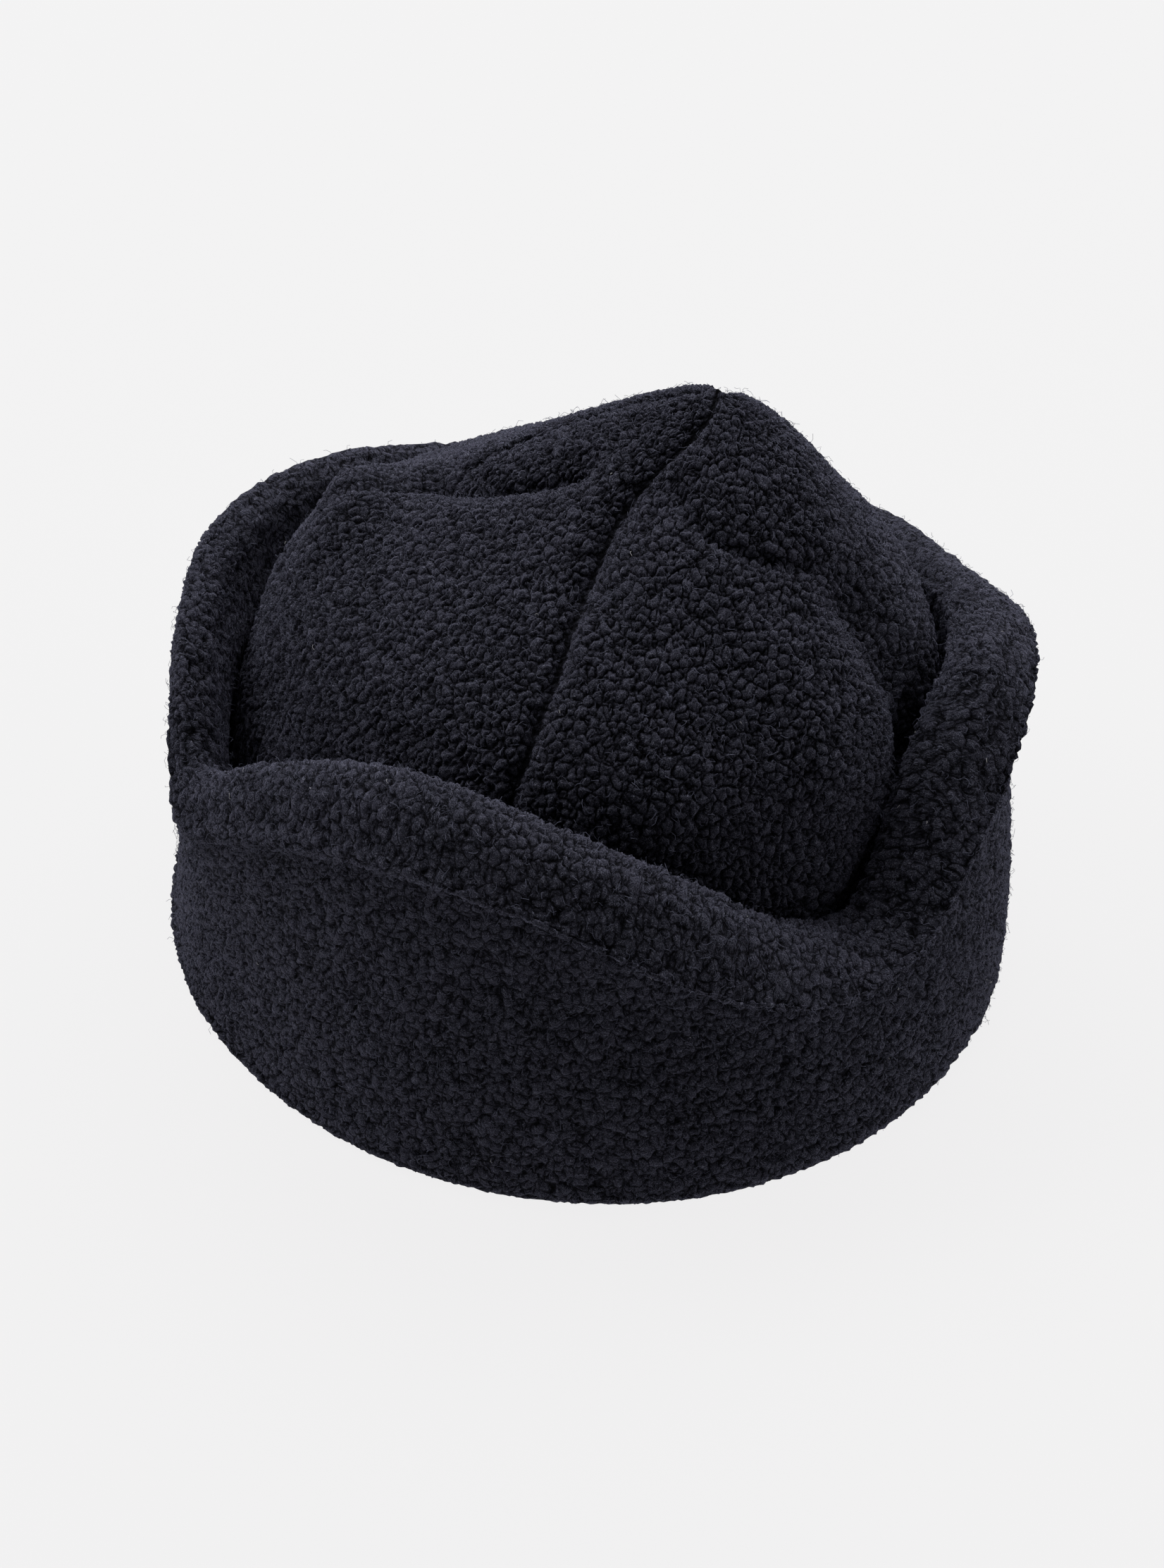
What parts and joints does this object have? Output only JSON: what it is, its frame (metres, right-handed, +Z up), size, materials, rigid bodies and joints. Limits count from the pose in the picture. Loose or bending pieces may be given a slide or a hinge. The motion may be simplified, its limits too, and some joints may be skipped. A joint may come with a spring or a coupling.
{
  "type": "watch cap",
  "caption": "Unworn winter cap of thick curly wool fleece with a seamed panelled crown and a deep doubled cuff turned up all round, low over the forehead and high over the ears.",
  "frame": {"origin": "on the surface that the cap stands on, under the middle of the cap's box", "axes": "+Z up through the crown, -Y towards the forehead, X from ear to ear"},
  "size_m": [0.208, 0.2296, 0.1508],
  "materials": {
    "crown_fleece": "matt curly wool fleece, near-black navy",
    "cuff_fleece": "matt curly wool fleece, near-black navy"
  },
  "bodies": {
    "root": {"crown_panel_front": "crown_fleece", "crown_panel_right": "crown_fleece", "crown_panel_back": "crown_fleece", "crown_panel_left": "crown_fleece", "cuff": "cuff_fleece"}
  },
  "joints": []
}
